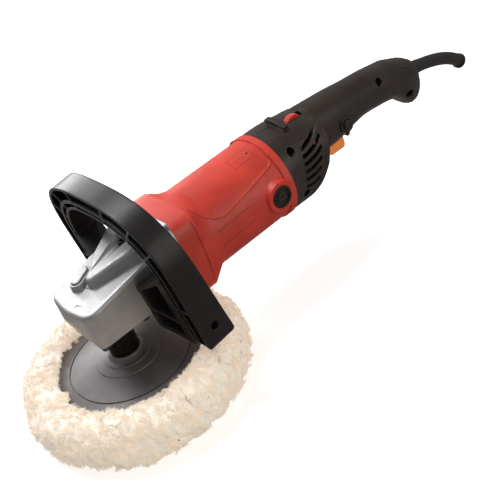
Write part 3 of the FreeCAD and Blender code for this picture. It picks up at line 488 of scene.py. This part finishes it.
def cap_rings():
    """Turned rings on the face of each brush cap."""
    caps = Surface("brush_caps")
    tracks = []
    for side in (-1, 1):
        for radius in (0.0082, 0.0060):
            places = [caps.side(BRUSH_X + radius * cos(a), MOTOR_Z + radius * sin(a), side)
                      for a in np.linspace(0, tau, 40, endpoint=False)]
            tracks.append((places, 0.00045, 0.0004, True))
    beads("brush_cap_rings", tracks, BOW_BLACK, "frame")


# ---- wool bonnet ---------------------------------------------------------------------
WOOL_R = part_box("wool_bonnet")[1][0]
WOOL_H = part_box("wool_bonnet")[1][2]
FLOOR_GAP = 0.0003              # the pile stops this far above the floor it stands on
LOCK_PIECES = 7                 # keeps each piece of the pile to a mesh of moderate size


def wool_profile(count):
    """Radius and z along the bonnet's pile, from the middle of the working face to the inner lip."""
    knots = np.array([
        (0.0, 0.014), (0.306, 0.014), (0.612, 0.018), (0.766, 0.032), (0.863, 0.119), (0.922, 0.285),
        (0.935, 0.484), (0.914, 0.689), (0.864, 0.840), (0.798, 0.895), (0.737, 0.863), (0.689, 0.810),
        (0.673, 0.753)]) * (WOOL_R, WOOL_H)
    steps = np.concatenate([[0], np.cumsum(np.hypot(*np.diff(knots, axis=0).T))])
    at = np.linspace(0, steps[-1], count)
    r = np.interp(at, steps, knots[:, 0])
    z = np.interp(at, steps, knots[:, 1])
    for _ in range(6):
        r[1:-1] = (r[:-2] + 2 * r[1:-1] + r[2:]) / 4
        z[1:-1] = (z[:-2] + 2 * z[1:-1] + z[2:]) / 4
    return r, z


def wool_surface(u, v, r, z):
    """Points for angles u and profile places v (0 to 1), with outward normals."""
    k = v * (len(r) - 1)
    i = np.clip(k.astype(int), 0, len(r) - 2)
    f = k - i
    rr = r[i] * (1 - f) + r[i + 1] * f
    zz = z[i] * (1 - f) + z[i + 1] * f
    dr, dz = r[i + 1] - r[i], z[i + 1] - z[i]
    length = np.hypot(dr, dz) + 1e-12
    nr, nz = dz / length, -dr / length
    points = np.stack([rr * np.cos(u), rr * np.sin(u), zz], 1)
    normals = np.stack([nr * np.cos(u), nr * np.sin(u), nz], 1)
    return points, normals


def tuft_field(points, normals, seeds, heights, lean, size):
    """Moves points outward into rounded tufts that lean the way their own seed does."""
    tree = KDTree(len(seeds))
    for i, seed in enumerate(seeds):
        tree.insert(seed, i)
    tree.balance()
    out = np.array(points)
    for j, point in enumerate(points):
        _, i, d = tree.find(point)
        lift = heights[i] * max(0.0, 1 - (d / size) ** 2)
        out[j] += normals[j] * lift + lean[i] * lift * 0.6
    return out


def wool_bonnet():
    """Backing surface of the pile: coarse and fine tufts, and a ragged lip over the pad's edge."""
    around, across, skipped = 620, 150, 8       # the first rows, near the middle, become one fan
    r, z = wool_profile(across)
    u = np.linspace(0, tau, around, endpoint=False)
    uu, vv = np.meshgrid(u, np.linspace(0, 1, across)[skipped:], indexing="ij")
    points, normals = wool_surface(uu.ravel(), vv.ravel(), r, z)
    turn = uu.ravel()
    ragged = 0.033 * np.sin(7 * turn + 1.3) + 0.024 * np.sin(17 * turn) + 0.015 * np.sin(41 * turn)
    lip = np.clip((vv.ravel() - 0.86) / 0.14, 0, 1)
    points[:, :2] *= (1 + ragged * lip)[:, None]

    layers = []
    for count, size, height in ((520, 0.0115, 0.0046), (2200, 0.0060, 0.0024)):
        seed_turn = RNG.uniform(0, tau, count)
        seeds, seed_normals = wool_surface(seed_turn, RNG.uniform(0.35, 1.0, count), r, z)
        lean = RNG.normal(0, 1, (count, 3))
        lean -= seed_normals * np.sum(lean * seed_normals, 1)[:, None]
        heights = height * RNG.uniform(0.2, 1.25, count)
        layers.append((seeds, heights, lean, size))
        points = tuft_field(points, normals, *layers[-1])
    points[:, 2] = np.maximum(points[:, 2], 0.0004)

    rows = across - skipped
    faces = []
    for i in range(around):
        n = (i + 1) % around
        for j in range(rows - 1):
            faces.append((i * rows + j, n * rows + j, n * rows + j + 1, i * rows + j + 1))
    centre = len(points)
    points = np.vstack([points, [[0, 0, 0.0006]]])
    faces += [(i * rows, centre, ((i + 1) % around) * rows) for i in range(around)]
    skin = mesh_object("wool_skin", points, faces, WOOL, "spindle")
    return skin, (r, z), layers


def wool_locks(profile, layers, tufts, strands):
    """Tufts of fine strands that curl over together."""
    r, z = profile
    bases, normals = wool_surface(RNG.uniform(0, tau, tufts), RNG.uniform(0.40, 1.0, tufts) ** 0.9, r, z)
    for layer in layers:
        bases = tuft_field(bases, normals, *layer)
    swirl = np.array([[90, -60, 40], [-70, 110, 80], [60, 75, -95]])     # radians per metre
    lean = np.sin(bases @ swirl) * 0.7 + RNG.normal(0, 0.7, (tufts, 3))
    lean -= normals * np.sum(lean * normals, 1)[:, None]
    lean /= np.linalg.norm(lean, axis=1)[:, None]
    count = tufts * strands
    normals = np.repeat(normals, strands, 0)
    lean = np.repeat(lean, strands, 0) + RNG.normal(0, 0.35, (count, 3))
    lean -= normals * np.sum(lean * normals, 1)[:, None]
    lean /= np.linalg.norm(lean, axis=1)[:, None]
    second = np.cross(normals, lean)
    tuft_radius, root_depth = 0.0024, 0.0007
    turn, reach = RNG.uniform(0, tau, count), np.sqrt(RNG.uniform(0, 1, count)) * tuft_radius
    offset = (np.cos(turn)[:, None] * lean + np.sin(turn)[:, None] * second) * reach[:, None]
    base = np.repeat(bases, strands, 0) - normals * root_depth
    length = np.repeat(RNG.uniform(0.0032, 0.0062, tufts), strands) * RNG.uniform(0.6, 1.15, count)
    curl = np.repeat(RNG.uniform(1.1, 2.7, tufts), strands) * RNG.uniform(0.75, 1.25, count)
    width = RNG.uniform(0.00016, 0.00034, count)
    rings, sides = 5, 3
    verts = np.zeros((count, rings, sides, 3))
    for k in range(rings):
        t = k / (rings - 1)
        bend = curl * t
        up = (length * np.sin(bend) / curl)[:, None] * normals
        over = (length * (1 - np.cos(bend)) / curl)[:, None] * lean
        centre = base + up + over + offset * (1 - 0.3 * t)
        radius = width * (1 - 0.8 * t ** 2)
        along = lean * np.cos(bend)[:, None] - normals * np.sin(bend)[:, None]
        for m in range(sides):
            a = tau * m / sides
            verts[:, k, m] = centre + radius[:, None] * (cos(a) * second + sin(a) * along)
    verts[..., 2] = np.maximum(verts[..., 2], FLOOR_GAP)
    tube = []
    for k in range(rings - 1):
        a, b = k * sides, (k + 1) * sides
        tube += [(a + m, a + (m + 1) % sides, b + (m + 1) % sides, b + m) for m in range(sides)]
    ends = [(2, 1, 0), tuple((rings - 1) * sides + m for m in range(sides))]
    for part, chunk in enumerate(np.array_split(verts, LOCK_PIECES)):
        start = np.arange(len(chunk))[:, None, None] * rings * sides
        faces = (start + tube).reshape(-1, 4).tolist() + (start + ends).reshape(-1, 3).tolist()
        mesh_object(f"wool_locks_{part + 1}", chunk.reshape(-1, 3), faces, WOOL, "spindle")


# ---- return spring of the shaft lock --------------------------------------------------
def return_spring():
    """The shaft lock's spring as a fixed coil at its full length; the real one closes up as the button
    goes down, which this coil does not follow.
    """
    low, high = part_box("shaft_lock_spring")
    wire, turns, steps, sides = 0.0003, 2, 64, 8
    centre = Vector(((low[0] + high[0]) / 2, (low[1] + high[1]) / 2, low[2] + wire))
    radius = (high[0] - low[0]) / 2 - wire
    rise = high[2] - low[2] - 2 * wire
    verts, faces = [], []
    for i in range(steps + 1):
        a = tau * turns * i / steps
        out = Vector((cos(a), sin(a), 0))
        ring_centre = centre + out * radius + Vector((0, 0, rise * i / steps))
        for k in range(sides):
            b = tau * k / sides
            verts.append(ring_centre + out * (wire * cos(b)) + Vector((0, 0, wire * sin(b))))
    for i in range(steps):
        a, b = i * sides, (i + 1) * sides
        faces += [(a + k, a + (k + 1) % sides, b + (k + 1) % sides, b + k) for k in range(sides)]
    faces += [tuple(range(sides - 1, -1, -1)), tuple(steps * sides + k for k in range(sides))]
    spring = mesh_object("lock_return_spring", verts, faces, STEEL, "frame")
    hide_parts("shaft_lock_spring")
    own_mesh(spring)


# ---- stage, light and camera ---------------------------------------------------------
VIEW_AZIMUTH, VIEW_ELEVATION, VIEW_ROLL = radians(-26.04), radians(33.80), radians(-22.32)
VIEW_TARGET = Vector((0.100, 0.0, 0.070))       # low in the middle of the tool
VIEW_DISTANCE = 0.750
LENS_RATIO = 1.807              # focal length over sensor width
SHIFT = (0.0868, 0.0032)        # the object sits right of the lens axis


def view_axes():
    """Directions to the right, up and back towards the camera in the main view."""
    a, e, roll = VIEW_AZIMUTH, VIEW_ELEVATION, VIEW_ROLL
    back = Vector((sin(a) * cos(e), -cos(a) * cos(e), sin(e)))
    right = Vector((cos(a), sin(a), 0))
    up = back.cross(right)
    return cos(roll) * right + sin(roll) * up, cos(roll) * up - sin(roll) * right, back


def add_camera():
    """The main view, from the side and above, a little ahead of the gear head."""
    right, up, back = view_axes()
    data = bpy.data.cameras.new("camera")
    data.sensor_width = 36.0
    data.lens = 36.0 * LENS_RATIO
    data.shift_x, data.shift_y = SHIFT
    data.clip_start = 0.01
    camera = bpy.data.objects.new("camera", data)
    place = VIEW_TARGET + back * VIEW_DISTANCE
    camera.matrix_world = Matrix((
        (right.x, up.x, back.x, place.x), (right.y, up.y, back.y, place.y),
        (right.z, up.z, back.z, place.z), (0, 0, 0, 1)))
    bpy.context.scene.collection.objects.link(camera)
    bpy.context.scene.camera = camera


def area_light(name, offset, size, power, colour=(1, 1, 1)):
    """Soft panel at an offset along the view's right, up and back axes."""
    right, up, back = view_axes()
    data = bpy.data.lights.new(name, "AREA")
    data.shape = "RECTANGLE"
    data.size, data.size_y = size
    data.energy = power
    data.color = colour
    light = bpy.data.objects.new(name, data)
    place = VIEW_TARGET + right * offset[0] + up * offset[1] + back * offset[2]
    light.location = place
    light.rotation_euler = (VIEW_TARGET - place).to_track_quat("-Z", "Y").to_euler()
    bpy.context.scene.collection.objects.link(light)


def add_floor():
    """Pale paper that looks bright but throws little light back up at the object."""
    half, level = 60.0, -0.0006
    pale, dull = (0.93, 0.93, 0.93), (0.30, 0.29, 0.28)
    mesh = bpy.data.meshes.new("floor")
    corners = [(x * half, y * half, level) for x, y in ((-1, -1), (1, -1), (1, 1), (-1, 1))]
    mesh.from_pydata(corners, [], [(0, 1, 2, 3)])
    paper = Shader("floor_paper", pale, 0.9)
    paper.set("Specular IOR Level", 0.0)
    paper.set("Emission Color", (1.0, 1.0, 1.0, 1.0))
    seen = paper.node("ShaderNodeLightPath").outputs["Is Camera Ray"]
    paper.feed("Base Color", paper.mix(seen, dull, pale))
    paper.feed("Emission Strength", paper.span(seen, 0.0, 0.55, 0.0, 1.0))
    mesh.materials.append(paper.mat)
    floor = bpy.data.objects.new("floor", mesh)
    bpy.context.scene.collection.objects.link(floor)


def add_world():
    """White backdrop for the camera, and a dimmer one for light and reflections."""
    world = bpy.data.worlds.new("studio")
    world.use_nodes = True
    background = world.node_tree.nodes["Background"]
    background.inputs["Color"].default_value = (1.0, 1.0, 1.0, 1.0)
    path = world.node_tree.nodes.new("ShaderNodeLightPath")
    level = world.node_tree.nodes.new("ShaderNodeMapRange")
    level.inputs["To Min"].default_value = 0.30
    level.inputs["To Max"].default_value = 1.0
    world.node_tree.links.new(path.outputs["Is Camera Ray"], level.inputs["Value"])
    world.node_tree.links.new(level.outputs["Result"], background.inputs["Strength"])
    bpy.context.scene.world = world


dress_nodes()
soften("bow_handle", 0.0011)
skin, profile, tuft_layers = wool_bonnet()
wool_locks(profile, tuft_layers, 5600, 9)
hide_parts("wool_bonnet")
housing_marks()
head_marks()
handle_marks()
cap_rings()
return_spring()
add_floor()
add_world()
bpy.context.scene.view_settings.view_transform = "Standard"
add_camera()
area_light("key", (-0.75, 1.0, 0.35), (0.7, 0.6), 12)
area_light("rim", (-0.85, 0.75, -0.75), (0.7, 0.6), 9)
area_light("fill", (0.9, 0.1, 0.9), (0.9, 0.9), 4.0, (1.0, 0.94, 0.88))
